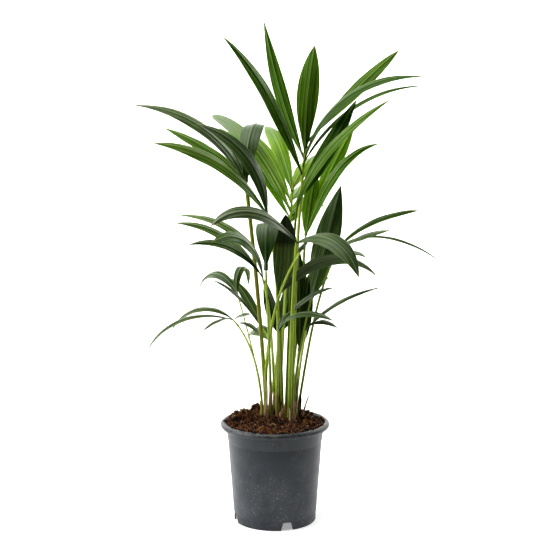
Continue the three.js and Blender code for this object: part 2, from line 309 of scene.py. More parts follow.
cutter_mesh = bpy.data.meshes.new("notch_cutter")
cutter_points, cutter_faces = [], []
for i in range(notch["count"]):
    points, faces = notch_block(notch["first"] + i * 360 / notch["count"])
    cutter_faces += [tuple(v + len(cutter_points) for v in face) for face in faces]
    cutter_points += points
cutter_mesh.from_pydata(cutter_points, [], cutter_faces)
cutter_bm = bmesh.new()
cutter_bm.from_mesh(cutter_mesh)
bmesh.ops.recalc_face_normals(cutter_bm, faces=cutter_bm.faces)
cutter_bm.to_mesh(cutter_mesh)
cutter_bm.free()
cutter = link_object("notch_cutter", cutter_mesh)
cut = pot_piece.modifiers.new("notches", "BOOLEAN")
cut.object, cut.operation, cut.solver = cutter, "DIFFERENCE", "EXACT"
apply_modifiers(pot_piece)
bpy.data.objects.remove(cutter)
pot_piece.data.shade_smooth()
pot_piece.data.set_sharp_from_angle(angle=math.radians(crease))
print("pot with notches:", len(pot_piece.data.polygons), "faces")

# %% [markdown]
# Recycled polypropylene is matte blue-grey. The mould leaves it satin, and stacking scratches it
# in faint upright streaks. Peat dust and splashed water dry on it as a thin veil, thickest low
# down, as a pale smear along the rim, which is partly dust and partly a painted highlight, and as
# pale specks. IOR 1.49 is polypropylene's. Specks are a millimetre or less, drawn a little
# coarser so that they show. Each kind of dirt, and the painted highlight on the rim, is one grey
# pattern, and a loop lays them over the plastic one by one.

# %% Finish: recycled polypropylene
speck_gap = 2.1  # mm between possible specks
recycled_polypropylene, shader = new_material(
    "recycled_polypropylene", IOR=1.49, Specular_IOR_Level=0.42
)
m = recycled_polypropylene
place = add_node(m, "ShaderNodeTexCoord").outputs["Object"]
height = add_node(m, SPLIT, Vector=place).outputs["Z"]

cloud = add_node(m, NOISE, Vector=place, Scale=38.0, Detail=5.0, Roughness=0.62)
plastic = add_node(m, RAMP, stops=[(0.3, "#20252b"), (0.7, "#2c3239")], Fac=cloud)
streaks = add_node(m, MAPPING, Vector=place, Scale=(420, 420, 22))
streaks = add_node(m, NOISE, Vector=streaks, Scale=1.0, Detail=4.0, Roughness=0.6)
scuffs = add_node(m, RAMP, stops=[(0.55, 0.0), (0.8, 0.07)], Fac=streaks)

splash = add_node(m, MATH, TIMES_PLUS, _0=height, _1=-2.2, _2=1.16)  # less of it further up
dust = add_node(m, NOISE, Vector=place, Scale=24.0, Detail=5.0, Roughness=0.65)
dust = add_node(m, MATH, TIMES, _0=dust, _1=splash)
veil = add_node(m, RAMP, stops=[(0.42, 0.0), (0.7, 0.22)], Fac=dust)

# a pale band round the rim: partly dust, partly a painted highlight of the rolled lip
at_rim = add_node(m, MATH, TIMES, _0=height, _1=1 / (pot["high"] * MM))
at_rim = add_node(m, RAMP, stops=[(0.95, 0.0), (0.98, 1.0)], Fac=at_rim)
rim_dust_and_highlight = add_node(m, NOISE, Vector=place, Scale=160.0, Detail=5.0, Roughness=0.7)
rim_dust_and_highlight = add_node(m, RAMP, stops=[(0.4, 0.04), (0.7, 0.36)], Fac=rim_dust_and_highlight)
rim_dust_and_highlight = add_node(m, MATH, TIMES, _0=rim_dust_and_highlight, _1=at_rim)

cells = add_node(m, "ShaderNodeTexVoronoi", Vector=place, Scale=1 / (speck_gap * MM))
specks = add_node(m, RAMP, stops=[(0.13, 1.0), (0.27, 0.0)], Fac=cells.outputs["Distance"])
picked = add_node(m, "ShaderNodeSeparateColor", Color=cells.outputs["Color"]).outputs["Red"]
picked = add_node(m, MATH, TIMES, _0=picked, _1=dust)
picked = add_node(m, RAMP, stops=[(0.36, 0.0), (0.56, 0.9)], Fac=picked)
specks = add_node(m, MATH, TIMES, _0=specks, _1=picked)

colour = plastic
for dirt_and_highlight, tint in ((scuffs, "#626a75"), (veil, "#64676d"), (rim_dust_and_highlight, "#8c8680"), (specks, "#b4b2ac")):
    colour = add_node(m, MIX, RGB, _0=dirt_and_highlight, _6=colour, _7=linear(tint))
rough = add_node(m, RAMP, stops=[(0.25, 0.36), (0.75, 0.52)], Fac=cloud)
relief = add_node(m, BUMP, Height=streaks, Strength=0.06, Distance=0.2 * MM)
feed(m, shader, Base_Color=colour, Roughness=rough, Normal=relief)
pot_piece.data.materials.clear()
pot_piece.data.materials.append(recycled_polypropylene)
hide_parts("pot")
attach(pot_piece, "root")
print("pot finished in", recycled_polypropylene.name)

# %% [markdown]
# ## The compost
# Palm compost is fine composted bark with coir, the fibre of coconut husks. It settles in clods,
# heaps round the stems and stays rough at the rim. Smooth noise alone would look like sand dunes,
# so the surface, a grid of rings, takes its heights from cell-shaped lumps of two sizes with
# cracks between them. Loose chips and fibres are scattered over it afterwards.

# %% Shape the lumps
clod_wide, crumb_wide, grain_wide = 13, 5, 1.9  # mm
clod_high, crumb_high, grain_high = 9, 3, 0.8
clod_level, crumb_level = 0.7, 0.6  # how far from a lump's middle it is level with the heap
swell = {"high": 2.2, "wide": 26}
crack_share = 0.34  # cells count as cracked where their two nearest middles differ by less
crack_deep = 0.5  # a share of the lump's own height
# painted shade: how much the cracks between lumps and the seams between crumbs are darkened
crack_shade_share, seam_shade_share = 0.75, 0.45


def clods(x, y):
    """Height of the lumps here, and the painted shade in a crack between two lumps, 0 to 1."""
    spot = Vector((x, y, 0))
    near, next_near = noise.voronoi(spot / clod_wide)[0][:2]
    fine, next_fine = noise.voronoi(spot / crumb_wide)[0][:2]
    crack = max(0.0, 1 - (next_near - near) / crack_share)
    seam = max(0.0, 1 - (next_fine - fine) / crack_share)
    height = clod_high * (clod_level - near) - crack_deep * clod_high * crack**2
    height += crumb_high * (crumb_level - fine) - crack_deep * crumb_high * seam
    swelling = swell["high"] * noise.noise(spot / swell["wide"])
    height += swelling + grain_high * noise.noise(spot / grain_wide)
    return height, min(1.0, crack_shade_share * crack + seam_shade_share * seam)


print("lumps", clod_wide, "and", crumb_wide, "mm wide, cracked", crack_deep * clod_high, "mm deep")

# %% Heap the compost
soil = {"edge": 156, "middle": 155, "level": 52, "reach": 78, "rings": 90, "spokes": 300}
stems = {1: (-18, 28), 2: (-4, 40), 3: (7, 18), 4: (22, 4), 5: (34, 20)}  # mm from the middle
banked = {"bearing": 120, "high": 5, "ring": 66, "wide": 12}  # washed to the back and left
mound = {"high": 2.2, "wide": 15}  # round each stem
settled = {"from": 70, "share": 0.6}  # the lumps lie flatter near the wall
plug_deep, plug_taper = 12, 0.93  # the surface closes below in a flat-bottomed plug


def soil_height(x, y):
    r = math.hypot(x, y)
    slope = max(0.0, (r - soil["level"]) / (soil["reach"] - soil["level"]))
    heap = soil["middle"] - (soil["middle"] - soil["edge"]) * slope
    turn = math.atan2(y, x) - math.radians(banked["bearing"])
    bank = banked["high"] * math.exp(-(((r - banked["ring"]) / banked["wide"]) ** 2))
    heap += bank * max(0.0, math.cos(turn))
    nearest = min(math.hypot(x - sx, y - sy) for sx, sy in stems.values())
    heap += mound["high"] * math.exp(-((nearest / mound["wide"]) ** 2))
    to_wall = max(0.0, (r - settled["from"]) / (soil["reach"] - settled["from"]))
    return heap + (1 - settled["share"] * to_wall) * clods(x, y)[0]


def compost_mesh():
    points, faces, painted_shades = [(0, 0, soil_height(0, 0))], [], [clods(0, 0)[1]]
    spokes = soil["spokes"]
    for ring in range(1, soil["rings"] + 1):
        r = soil["reach"] * ring / soil["rings"]
        for k in range(spokes):
            a = 2 * math.pi * k / spokes
            x, y = r * math.cos(a), r * math.sin(a)
            points.append((x, y, soil_height(x, y)))
            painted_shades.append(clods(x, y)[1])
    floor_z = soil["edge"] - plug_deep
    points += [(x * plug_taper, y * plug_taper, floor_z) for x, y, _ in points[-spokes:]]
    points.append((0, 0, floor_z))
    # the sides and floor of the plug get full painted shade
    painted_shades += [1.0] * (spokes + 1)
    last = 1 + soil["rings"] * spokes
    for k in range(spokes):
        n = (k + 1) % spokes
        faces.append((0, 1 + k, 1 + n))
        for ring in range(soil["rings"]):
            a, b = 1 + ring * spokes, 1 + (ring + 1) * spokes
            faces.append((a + k, b + k, b + n, a + n))
        faces.append((last + n, last + k, len(points) - 1))
    mesh = bpy.data.meshes.new("compost_heap")
    mesh.from_pydata([Vector(p) * MM for p in points], [], faces)
    painted_shade = mesh.attributes.new("painted_shade", "FLOAT", "POINT")
    painted_shade.data.foreach_set("value", painted_shades)
    mesh.shade_smooth()
    return mesh


compost_piece = link_object("compost_heap", compost_mesh())
print("compost:", len(compost_piece.data.polygons), "faces")

# %% [markdown]
# Moist bark is red-brown on its crumbs, and wet enough to glint a little; the cracks between its
# lumps are painted nearly black, as shade. The fibres are orange to straw. A finish each: one for
# the mass, one for chips, two for fibres and one for the white beads, because a colour that belongs
# to a piece is safest as that piece's own material.


# %% Finish: bark and coir
def earthy(name, dark, light, grain_mm, roughness):
    m, shader = new_material(name, Roughness=roughness, IOR=1.4, Specular_IOR_Level=0.3)
    place = add_node(m, "ShaderNodeTexCoord").outputs["Object"]
    grain = add_node(m, NOISE, Vector=place, Scale=1 / (grain_mm * MM), Detail=6.0, Roughness=0.7)
    colour = add_node(m, RAMP, stops=[(0.34, dark), (0.7, light)], Fac=grain)
    # cracks between lumps are painted near black, as shade
    painted_shade = add_node(m, "ShaderNodeAttribute", {"attribute_name": "painted_shade"}).outputs["Fac"]
    colour = add_node(m, MIX, RGB, _0=painted_shade, _6=colour, _7=linear("#070403"))
    relief = add_node(m, BUMP, Height=grain, Strength=0.8, Distance=0.8 * MM)
    feed(m, shader, Base_Color=colour, Normal=relief)
    return m


bark_compost = earthy("bark_compost", "#130a05", "#3c2416", 4.0, 0.85)
litter_finishes = [
    earthy("bark_chip", "#180e08", "#4c2e1b", 3.0, 0.8),
    earthy("coir_fibre", "#4a2812", "#ac7042", 9.0, 0.75),
    earthy("straw_fibre", "#8a6a44", "#d2b284", 9.0, 0.75),
    earthy("perlite", "#b9b2a4", "#efeae0", 2.0, 0.9),
]
BARK, COIR, STRAW, BEAD = range(4)  # their places in that list
compost_piece.data.materials.append(bark_compost)
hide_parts("compost")
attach(compost_piece, "root")
print("compost finishes:", bark_compost.name, *(finish.name for finish in litter_finishes))

# %% [markdown]
# ## Joining many small things
# Chips, fibres, leaflets and sheaths are all made the same way: rings of points, each ring joined
# to the next, both ends closed. A batch collects such bodies with the finish of each face and
# becomes one mesh at the end, which is lighter than hundreds of objects.


# %% A batch of lofted bodies
end_crease = 60  # degrees: keeps a flat end sharp against the round side of a stalk


class Batch:
    def __init__(self):
        self.points, self.faces, self.finishes, self.marks, self.shares = [], [], [], [], []
        self.count = 0

    def add(self, rings, finish, marks=None, shares=None):
        """Rings is an array [rows, points in a ring, 3] in mm, finish an index or one per side."""
        rows, sides = rings.shape[:2]
        index = np.arange(rows * sides).reshape(rows, sides) + self.count
        following = np.roll(index, -1, axis=1)
        quads = np.stack([index[:-1], following[:-1], following[1:], index[1:]], -1).reshape(-1, 4)
        self.faces += quads.tolist() + [index[0][::-1].tolist(), index[-1].tolist()]
        per_side = np.broadcast_to(np.asarray(finish), (sides,))
        self.finishes += np.tile(per_side, rows - 1).tolist() + [int(per_side[0])] * 2
        self.points.append(rings.reshape(-1, 3) * MM)
        empty = np.zeros((rows * sides, 3))
        self.marks.append(empty if marks is None else marks.reshape(-1, 3))
        self.shares.append(empty if shares is None else shares.reshape(-1, 3))
        self.count += rows * sides

    def make(self, name, materials, hard_ends=False):
        mesh = bpy.data.meshes.new(name)
        mesh.from_pydata(np.concatenate(self.points), [], self.faces)
        for material in materials:
            mesh.materials.append(material)
        mesh.polygons.foreach_set("material_index", self.finishes)
        for label, values in (("blade", self.marks), ("share", self.shares)):
            layer = mesh.attributes.new(label, "FLOAT_VECTOR", "POINT")
            layer.data.foreach_set("vector", np.concatenate(values).ravel().astype(np.float32))
        mesh.shade_smooth()
        if hard_ends:
            mesh.set_sharp_from_angle(angle=math.radians(end_crease))
        return link_object(name, mesh)


def spread(shape, *values):
    """Three values for each point of a grid, such as the marks that a finish reads."""
    return np.stack([np.broadcast_to(value, shape) for value in values], -1)


print("batch ready: one mesh from many lofted bodies")

# %% [markdown]
# The scatter is seeded, so it falls the same way each time. Fibres lie in low arcs and curl at
# random, chips are flat and turned at random, and a few beads of perlite, a puffed white mineral
# that keeps compost airy, lie between them. A few large chips stand up from the surface, and a
# few crumbs have come to lie on the rim.

# %% Make a fibre
dice = random.Random(41)
fibre_steps, fibre_sides = 7, 3
fibre_bend, fibre_hump = 2.6, (0.2, 2.4)  # radians to either side, and mm off the compost
fibre_rough, fibre_end = 0.5, 0.4  # mm up and down, and how thin the end is as a share
turn_back, step_back = 0.6, 0.97  # half turns at the wall, and a share of the radius


def tube(points, radii, sides):
    """Rings round a line of points that doesn't run straight up."""
    way = np.gradient(points, axis=0)
    way /= np.linalg.norm(way, axis=1, keepdims=True)
    side = np.cross(way, [0.13, 0.21, 0.97])
    side /= np.linalg.norm(side, axis=1, keepdims=True)
    up = np.cross(way, side)
    turn = (np.arange(sides) / sides * 2 * math.pi)[None, :, None]
    ring = side[:, None] * np.cos(turn) + up[:, None] * np.sin(turn)
    return points[:, None] + ring * radii[:, None, None]


def fibre(start, long, thick):
    heading = dice.random() * 2 * math.pi
    bend = dice.uniform(-fibre_bend, fibre_bend)
    hump = dice.uniform(*fibre_hump)
    spot, line = start.copy(), []
    for i in range(fibre_steps):
        s = i / (fibre_steps - 1)
        lift = hump * math.sin(math.pi * s) + dice.uniform(0, fibre_rough)
        line.append([spot[0], spot[1], soil_height(*spot) + lift])
        turn = heading + bend * s
        spot = spot + np.array([math.cos(turn), math.sin(turn)]) * long / (fibre_steps - 1)
        if np.hypot(*spot) > soil["reach"] - 1:
            heading += math.pi * turn_back
            spot *= step_back
    radii = np.linspace(thick, thick * fibre_end, fibre_steps) / 2
    return tube(np.array(line), radii, fibre_sides)


print("a fibre bends up to", round(math.degrees(fibre_bend)), "degrees to either side")

# %% Make a chip
chip_rows, chip_sides = 4, 6
chip_tilt, chip_lift = 0.5, (-0.05, 0.25)  # lift is a share of the size
chip_broad, chip_flat, chip_uneven = (0.45, 0.9), (0.25, 0.6), (0.7, 1.1)  # shares of the size
rim_inset, rim_lift = 1.5, 0.15  # mm in from the crest of the rim, and a share of the size


def chip(spot, size):
    """A broken flake: rings of uneven radius, squashed, tilted and sunk in a little."""
    tilt = Vector((dice.gauss(0, chip_tilt), dice.gauss(0, chip_tilt), 1)).normalized()
    turn = tilt.to_track_quat("Z", "X").to_matrix()
    centre = np.array([*spot, soil_height(*spot) + size * dice.uniform(*chip_lift)])
    stretch = np.array([1, dice.uniform(*chip_broad), dice.uniform(*chip_flat)]) * size / 2
    rings = []
    for row in range(chip_rows):
        level = -1 + 2 * row / (chip_rows - 1)
        width = math.sqrt(max(0.12, 1 - 0.8 * level * level))  # near a ball, with blunt ends
        ring = []
        for k in range(chip_sides):
            a = (k + 0.5 * (row % 2)) / chip_sides * 2 * math.pi
            r = width * dice.uniform(*chip_uneven)
            local = Vector(stretch * np.array([r * math.cos(a), r * math.sin(a), level]))
            ring.append(centre + np.array(turn @ local))
        rings.append(ring)
    return np.array(rings)


def on_rim(bearing, size):
    """A crumb that has come to lie on the rolled rim."""
    a = math.radians(bearing)
    body = chip(np.array([0.0, 0.0]), size)
    r = pot["rim"] - roll - rim_inset
    place = np.array([r * math.cos(a), r * math.sin(a), pot["high"] + size * rim_lift])
    return body - body.mean(axis=(0, 1)) + place


print("a chip has", chip_rows, "rings of", chip_sides, "points")

# %% Scatter them
fibre_count, chip_count, bead_count = 1200, 560, 36
straw_share = 0.16
fibre_long, fibre_thick = (5, 24), (0.4, 1.1)  # mm
chip_size, bead_size = (1.6, 8.5), (1.0, 2.2)  # mm
size_spread = (0.6, 1.3)  # makes middling chips the most frequent
fibre_off_wall, chip_off_wall = 3, 2  # mm
big_bark = [  # where each large chip lies, its size, and how far it stands up, all mm
    (-33, 60, 14, 7), (-37, 56, 10, 3), (-52, 40, 9, 2), (-28, 64, 8, 3), (-60, 22, 8, 2),
    (14, 66, 7, 2), (40, 52, 7, 2),
]
rim_crumbs = [  # bearing and size
    (247, 8), (254, 6), (286, 4), (318, 5), (214, 4), (182, 6), (340, 4), (150, 7), (96, 6),
]


def spot_on_soil(off_wall):
    r = (soil["reach"] - off_wall) * math.sqrt(dice.random())
    a = dice.random() * 2 * math.pi
    return np.array([r * math.cos(a), r * math.sin(a)])


litter = Batch()
for x, y, size, lift in big_bark:
    litter.add(chip(np.array([x, y], float), size) + np.array([0, 0, lift]), BARK)
for bearing, size in rim_crumbs:
    litter.add(on_rim(bearing, size), BARK)
for _ in range(fibre_count):
    finish = STRAW if dice.random() < straw_share else COIR
    spot = spot_on_soil(fibre_off_wall)
    litter.add(fibre(spot, dice.uniform(*fibre_long), dice.uniform(*fibre_thick)), finish)
for _ in range(chip_count):
    spot = spot_on_soil(chip_off_wall)
    litter.add(chip(spot, dice.uniform(*chip_size) * dice.uniform(*size_spread)), BARK)
for _ in range(bead_count):
    spot = spot_on_soil(fibre_off_wall)
    litter.add(chip(spot, dice.uniform(*bead_size)), BEAD)
litter_piece = litter.make("compost_litter", litter_finishes)
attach(litter_piece, "root")
print("litter:", fibre_count, "fibres and", chip_count, "chips")

# %% [markdown]
# ## How the plant grows
# Every stalk and every leaflet is an arc that stays in one upright plane. Five numbers set it:
# the compass bearing it heads for, how steeply it rises at its foot, how steeply at its tip, how
# late the bend comes, and its length. It is the rule a botanist would use to describe an arching
# leaf, and it keeps each piece exactly where its solid is.

# %% The growth arc
arc_steps = 96


def growth_arc(start, bearing, rise, tip, late, long):
    s = (np.arange(arc_steps) + 0.5) / arc_steps
    climb = np.radians(rise + (tip - rise) * s**late)
    heading = math.radians(bearing)
    flat = np.cos(climb)
    ways = np.stack([flat * math.cos(heading), flat * math.sin(heading), np.sin(climb)], 1)
    points = np.vstack([start, start + np.cumsum(ways * long / arc_steps, axis=0)])
    return {"points": points, "ways": ways, "long": long, "heading": heading}


def stations(arc, distances):
    """Places and directions at these distances: point, way, side and upper face."""
    step = np.clip(np.asarray(distances, float) / arc["long"], 0, 1) * arc_steps
    low = np.minimum(step.astype(int), arc_steps - 1)
    share = (step - low)[:, None]
    point = arc["points"][low] * (1 - share) + arc["points"][low + 1] * share
    middle = np.clip(step - 0.5, 0, arc_steps - 1)
    i = np.minimum(middle.astype(int), arc_steps - 2)
    part = (middle - i)[:, None]
    way = arc["ways"][i] * (1 - part) + arc["ways"][i + 1] * part
    way /= np.linalg.norm(way, axis=1, keepdims=True)
    side = np.array([-math.sin(arc["heading"]), math.cos(arc["heading"]), 0.0])
    side = np.broadcast_to(side, way.shape)
    return point, way, side, np.cross(way, side)


seat_ring = 4.6  # radius of the ring on a stem's top where its stalks sit
stem_high = 30
joint_gap = 0.3


def seat_of(stem, bearing):
    x, y = stems[stem]
    a = math.radians(bearing)
    top = soil["middle"] + stem_high + 2 * joint_gap
    return np.array([x + seat_ring * math.cos(a), y + seat_ring * math.sin(a), top])


print("seats lie", seat_ring, "mm from the middle of a stem,", stem_high, "mm above the compost")

# %% [markdown]
# ## The fronds
# Twenty fronds, four to a seedling. Each has its stem, its seat round that stem, its thickness at
# the foot, its arc, the tone of its stalk, and its leaflets. A leaflet has its distance back from
# the rib's end, its arc, its width, its lean (how far its upper face turns to the front) and its
# tone. Some have more: belly is where along it the leaflet is widest, point how finely it draws
# out, ripple how much its margins wave. Young leaves are yellow-green and thin, old ones dark
# and leathery.

# %% Table of fronds
stalk_taper = 0.8  # a stalk's thickness at its neck as a share of that at its foot


def frond(stem, seat, thick, arc, stalk, *leaflets, taper=stalk_taper):
    return {
        "stem": stem, "seat": seat, "thick": thick, "arc": arc, "stalk": stalk,
        "leaflets": leaflets, "taper": taper,
    }


def leaf(back, bearing, rise, tip, late, long, wide, lean, tone, **extra):
    arc = (bearing, rise, tip, late, long)
    return {"back": back, "arc": arc, "wide": wide, "lean": lean, "tone": tone, **extra}


fronds = {
    "tall": frond(
        4, 10, 6.2, (40, 88, 80, 3, 405), "fresh",
        leaf(49, 205, 66, 40, 2, 250, 28, 60, "green"),
        leaf(40, 339, 82, -7, 0.9, 265, 24, 40, "deep", point=1.3),
        leaf(32, 3, 62, -2, 1.1, 238, 20, 12, "deep"),
        leaf(24, 145, 59, 77, 0.6, 230, 21, 65, "green", point=1.3),
        leaf(16, 78, 84, 15, 1.3, 170, 26, 0, "deep"),
        leaf(8, 65, 96, 65, 0.7, 162, 34, 20, "green", belly=0.52, point=0.95),
        leaf(0, 15, 47, 40, 1, 207, 24, 40, "green", belly=0.6, point=1),
    ),
    "inner_right": frond(
        4, 190, 5, (312, 87, 81, 3, 320), "green",
        leaf(24, 340, 90, 30, 0.5, 240, 25, 46, "green"),
        leaf(0, 18, 56, 59, 0.5, 180, 26, 70, "deep"),
    ),
    "back_right": frond(
        4, 100, 5, (66, 66, 80, 0.5, 265), "green",
        leaf(0, 42, 78, 78, 1, 110, 26, 40, "fresh"),
        leaf(0, 33, 74, 55, 0.5, 194, 24, 45, "bright", belly=0.6, point=0.8),
        leaf(0, 349, 68, 8, 2.5, 197, 22, 45, "fresh"),
    ),
    "back_bright": frond(
        3, 80, 5.5, (72, 84, 75, 0.6, 350), "fresh",
        leaf(68, 71, 10, 48, 0.5, 75, 20, 0, "lime"),
        leaf(63, 179, 60, 24, 3, 190, 18, 50, "lime"),
        leaf(60, 48, 38, -30, 1, 98, 24, 10, "fresh"),
        # the next leaflet's pale tip is painted sheen
        leaf(51, 160, 61, 18, 2.3, 208, 27, 45, "bleached", belly=0.65, point=0.5),
        leaf(38, 142, 60, 6, 3, 155, 22, 28, "lemon", belly=0.6, point=0.7),
        leaf(33, 78, 14, 15, 1, 75, 20, 0, "lime"),
        leaf(19, 112, 52, 7, 2.9, 158, 29, 5, "lemon", belly=0.6, point=0.7),
        leaf(14, 67, 39, 13, 1.1, 110, 26, 0, "lime"),
    ),
    "high_left": frond(
        1, 45, 7, (202, 87, 83, 0.7, 345), "olive",
        # the next leaflet is greyed as painted sheen
        leaf(2, 196, 67, 1, 1, 228, 26, 44, "silvery", belly=0.42, point=1.3),
        leaf(2, 163, 54, 21, 0.5, 163, 26, 28, "green"),
        leaf(0, 140, 71, 5, 1.1, 145, 14, 20, "dark", point=1.3),
        leaf(0, 77, 86, -30, 1.5, 148, 34, 0, "arched", belly=0.6, point=0.6),
        taper=1,
    ),
    "middle_left": frond(
        3, 170, 5, (244, 94, 63, 1.9, 305), "fresh",
        leaf(6, 204, 59, 5, 1, 224, 33, 38, "middling"),
        leaf(3, 178, 84, 14, 1.2, 185, 29, 42, "dusky"),
    ),
    "curled": frond(
        2, 240, 4.4, (265, 70, 66, 3, 232), "fresh",
        leaf(0, 80, 87, -100, 4, 94, 35, 0, "arched", belly=0.7, point=0.6),
    ),
    "dark_upright": frond(
        3, 350, 5, (258, 82, 79, 1.5, 175), "olive",
        leaf(46, 330, 46, 8, 2, 118, 14, 38, "dark"),
        leaf(0, 298, 56, 92, 0.5, 130, 36, -25, "folded", belly=0.55, point=0.8),
    ),
    "front": frond(
        4, 280, 6.6, (277, 90, 66, 0.5, 275), "fresh",
        leaf(4, 316, 30, -70, 1.1, 145, 30, 30, "dusky"),
        leaf(0, 208, 44, -45, 1.7, 160, 27, 40, "pewter"),
    ),
    "curved_front": frond(
        1, 315, 5.6, (295, 93, 36, 0.9, 295), "fresh",
        leaf(103, 333, 46, -45, 1.7, 180, 26, -45, "dark", belly=0.6, point=0.6),
        leaf(9, 286, 40, 23, 1.1, 40, 14, 20, "dark"),
    ),
    "lower_left": frond(
        2, 320, 4.6, (248, 83, 53, 3, 210), "fresh",
        leaf(0, 160, 104, -4, 0.5, 190, 21, 16, "sage"),
        leaf(1, 192, 59, 0, 1.2, 170, 21, 32, "sage"),
        leaf(1, 231, 75, -22, 1.1, 150, 24, 56, "sage"),
        leaf(0, 208, 55, -13, 1.2, 145, 18, 38, "dusky"),
    ),
    "hook_left": frond(
        1, 135, 3.5, (143, 82, 69, 0.5, 170), "fresh",
        leaf(0, 69, 118, -118, 1.1, 105, 15, 10, "dusky"),
        leaf(0, 139, 53, -101, 1.4, 120, 17, 35, "dusky"),
    ),
    "small_left": frond(
        2, 120, 4, (142, 102, 31, 1.7, 130), "fresh",
        leaf(38, 123, 62, -56, 0.7, 80, 24, 40, "dusky"),
        leaf(14, 138, 55, 20, 2.6, 105, 16, 40, "dusky"),
        leaf(0, 204, 57, 20, 1.6, 110, 13, 32, "dusky"),
    ),
    "low_left": frond(
        1, 225, 4, (235, 81, 39, 1.2, 160), "fresh",
        leaf(11, 305, 26, -31, 0.8, 65, 11, 10, "dusky"),
        leaf(0, 169, 42, -71, 1, 122, 15, 20, "dusky"),
        leaf(0, 198, 19, -67, 1.3, 160, 15, 10, "dusky"),
        leaf(0, 234, 30, -26, 0.6, 80, 12, 0, "dusky"),
        leaf(0, 301, 37, 2, 0.8, 56, 12, 35, "dusky"),
        taper=0.95,
    ),
    "dark_broad": frond(
        5, 180, 5.2, (1, 89, 76, 0.5, 170), "olive",
        leaf(90, 52, 80, 73, 3, 125, 27, 40, "dark"),
        leaf(88, 95, 88, 74, 1, 165, 22, 0, "dark"),
        leaf(12, 72, 55, -30, 1, 112, 24, 0, "deep"),
        leaf(0, 40, 70, 71, 0.9, 180, 40, 45, "wrinkled", ripple=0.13),
    ),
    "far_right": frond(
        5, 0, 4.6, (350, 81, 64, 2.5, 250), "green",
        leaf(26, 302, 33, -20, 1.5, 100, 13, 28, "dusky"),
        leaf(6, 9, 68, 5, 0.5, 149, 14, 25, "deep", belly=0.6, point=0.6),
        leaf(0, 318, 33, 12, 0.6, 110, 17, 32, "dusky"),
        leaf(0, 349, 58, -41, 0.5, 185, 13, 13, "dusky"),
        taper=0.95,
    ),
    "spear": frond(
        5, 90, 4.6, (45, 96, 77, 0.5, 140), "fresh",
        leaf(2, 88, 69, 115, 1.7, 95, 10, 0, "fresh"),
    ),
    "small_front": frond(
        3, 270, 4.4, (269, 58, 72, 1, 135), "olive",
        leaf(0, 329, 90, -22, 0.5, 110, 20, 20, "dusky"),
        leaf(0, 58, 85, 16, 0.5, 44, 13, 0, "dusky"),
    ),
    "small_right": frond(
        5, 270, 4.4, (291, 85, 66, 0.5, 125), "fresh",
        leaf(0, 15, 58, 8, 0.6, 147, 12, 15, "dusky"),
        leaf(0, 326, 88, -28, 0.5, 66, 14, 20, "dark"),
    ),
    "dark_low": frond(
        2, 35, 5, (64, 88, 78, 0.5, 100), "olive",
        leaf(0, 148, 68, 81, 1.4, 92, 27, 10, "dark"),
        leaf(0, 78, 40, -50, 1, 120, 26, 0, "dark"),
        leaf(0, 34, 62, 90, 0.9, 100, 30, 30, "dark"),
    ),
}
print("fronds:", len(fronds), "leaflets:", sum(len(f["leaflets"]) for f in fronds.values()))

# %% [markdown]
# ## The leaf's finish
# A kentia leaflet is leathery, with a waxy cuticle: satin, with an index of about 1.45. Fine
# parallel veins run its whole length, a few stronger ones stand out paler every 6 mm or so, and
# the light that comes through the blade makes young leaves glow. Broad bands along the blade are
# partly veins and partly painted shade of its pleats. Each leaf carries marks that say how far
# across and along it a point is, in millimetres, so the veins follow the leaf. Every tone is a
# material of its own, from lime for the youngest leaf to dark for the oldest, and most tips are
# dry. A few tones are painted paler towards the tip instead, a painted sheen where the leaf turns
# up to the light, one is greyed all over as painted sheen, and the folded one has a painted shade
# over its folded tip.

# %% Finish: waxy leaf
# Some tones carry painted light on their tips, set in the table of tips below.
leaf_tones = {  # between veins, blade, veins, margin, light let through, shine
    "lime": ("#64801c", "#7d9a2a", "#9db452", "#b4c878", 0.2, 0.15),
    "lemon": ("#6a861e", "#86a030", "#a2b858", "#b8c97c", 0.2, 0.15),
    "bright": ("#54700f", "#668618", "#88a43e", "#a2b864", 0.16, 0.12),
    "fresh": ("#486614", "#587818", "#7e9a3c", "#9fb568", 0.14, 0.12),
    "green": ("#3e5a12", "#4c6a18", "#6e8a3c", "#86a054", 0.1, 0.12),
    "deep": ("#2e4610", "#3b5814", "#587430", "#7f9658", 0.08, 0.13),
    "arched": ("#22380e", "#2e4816", "#4c6630", "#6c8450", 0.05, 0.3),
    "sage": ("#465c2e", "#5f763f", "#94a67a", "#a2b28c", 0.06, 0.32),
    "middling": ("#465e28", "#5c7c30", "#889e64", "#98aa7a", 0.08, 0.25),
    "dusky": ("#2f3e20", "#43552d", "#687a50", "#84966c", 0.06, 0.3),
    "wrinkled": ("#324428", "#485c3a", "#6a7c5e", "#869678", 0.04, 0.5),
    # the next tone is lime-green; its pale tip is painted sheen
    "bleached": ("#6a8820", "#84a430", "#a2b858", "#b6ca7a", 0.12, 0.3),
    # the next tone is greyed all over as painted sheen, with a strong shine as well
    "silvery": ("#42543a", "#586a4a", "#8f9c86", "#a0aa98", 0.05, 0.7),
    "pewter": ("#3a4830", "#536146", "#8a957e", "#a2ab96", 0.04, 0.35),
    "dark": ("#1b2b08", "#26390c", "#3f5526", "#5c703c", 0.04, 0.3),
    # the next tone's tip is painted near black as the shade of its fold
    "folded": ("#2f3c1e", "#42522c", "#70805a", "#8b9c74", 0.04, 0.3),
}
dry_tip = (0.93, 1.0, "#7d6a35")  # where it starts, where it is full, and its colour
